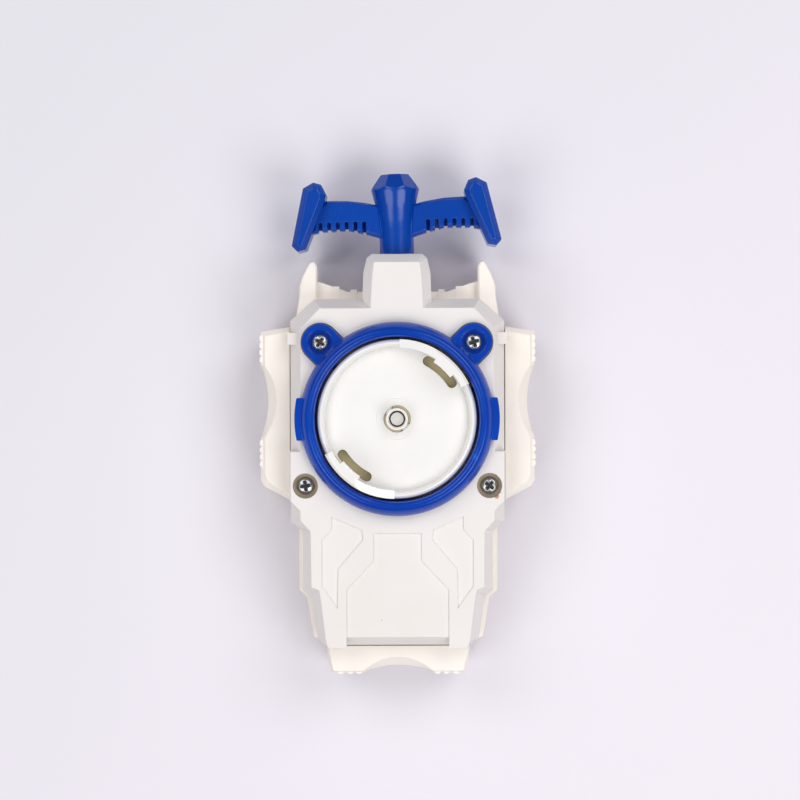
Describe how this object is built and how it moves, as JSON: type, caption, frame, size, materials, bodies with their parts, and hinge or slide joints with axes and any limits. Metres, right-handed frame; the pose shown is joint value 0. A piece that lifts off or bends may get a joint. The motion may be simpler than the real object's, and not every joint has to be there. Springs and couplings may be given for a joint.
{
  "type": "spinning top launcher",
  "caption": "Hand-held spinning top launcher: a two-part moulded housing with a hooked launch disc in a screwed rim ring, driven by a pull string with a T handle and a return spring.",
  "frame": {"origin": "centre of the launch disc's axis on the back face that the launcher lies on", "axes": "+Z along the disc's axis, out of the launch side; +Y along the string, towards the pull handle; +X to the right seen from the launch side"},
  "size_m": [0.0734, 0.1332, 0.0353],
  "materials": {
    "white_plastic": "satin moulded plastic",
    "cream_plastic": "satin moulded plastic, a little aged",
    "blue_plastic": "smooth moulded plastic",
    "tan_plastic": "satin moulded plastic",
    "disc_plastic": "polished moulded plastic",
    "screw_steel": "zinc plated steel",
    "pin_steel": "ground steel",
    "spring_steel": "blued spring steel",
    "brass": "plain brass",
    "string": "braided nylon cord"
  },
  "bodies": {
    "housing": {"front_shell": "white_plastic", "back_shell": "cream_plastic", "rim_ring": "blue_plastic", "ring_screws": "screw_steel", "case_screws": "screw_steel", "mechanism_plate": "tan_plastic", "plate_screws": "screw_steel", "axle": "pin_steel", "axle_washer": "pin_steel", "mainspring": "spring_steel", "spring_cover": "white_plastic", "string_eyelet": "brass", "roller_pin": "pin_steel", "string_run": "string"},
    "handle": {"pull_handle": "blue_plastic", "handle_plug": "blue_plastic", "string_knot": "string", "string_lead": "string"},
    "reel": {"reel": "tan_plastic", "reel_bush": "brass", "string_coil": "string"},
    "disc": {"clutch_carrier": "tan_plastic", "pawls": "pin_steel", "pawl_pins": "pin_steel", "pawl_springs": "spring_steel", "carrier_screws": "screw_steel", "launch_disc": "disc_plastic", "hub_bush": "brass"},
    "roller": {"guide_roller": "tan_plastic"}
  },
  "joints": [
    {"name": "handle_pull", "type": "slide", "parent": "housing", "child": "handle", "axis": [0, 1, 0], "range_m": [0, 0.45], "stiffness_N_per_m": 8, "springref_m": -0.3, "deforming": ["string_lead"]},
    {"name": "reel_spin", "type": "hinge", "parent": "housing", "child": "reel", "pos_m": [0, 0, 0.0149], "axis": [0, 0, 1], "range_deg": [0, 2148.59], "deforming": ["mainspring"]},
    {"name": "disc_spin", "type": "hinge", "parent": "housing", "child": "disc", "pos_m": [0, 0, 0.0258], "axis": [0, 0, 1], "range_deg": [0, 2148.59]},
    {"name": "roller_spin", "type": "hinge", "parent": "housing", "child": "roller", "pos_m": [0.00295, 0.0309, 0.0149], "axis": [0, 0, 1], "range_deg": [-11719.59, 0]}
  ],
  "couplings": [
    {"joint": "reel_spin", "follows": "handle_pull", "rad_per_m": 83.333},
    {"joint": "disc_spin", "follows": "handle_pull", "rad_per_m": 83.333},
    {"joint": "roller_spin", "follows": "handle_pull", "rad_per_m": -454.55}
  ]
}
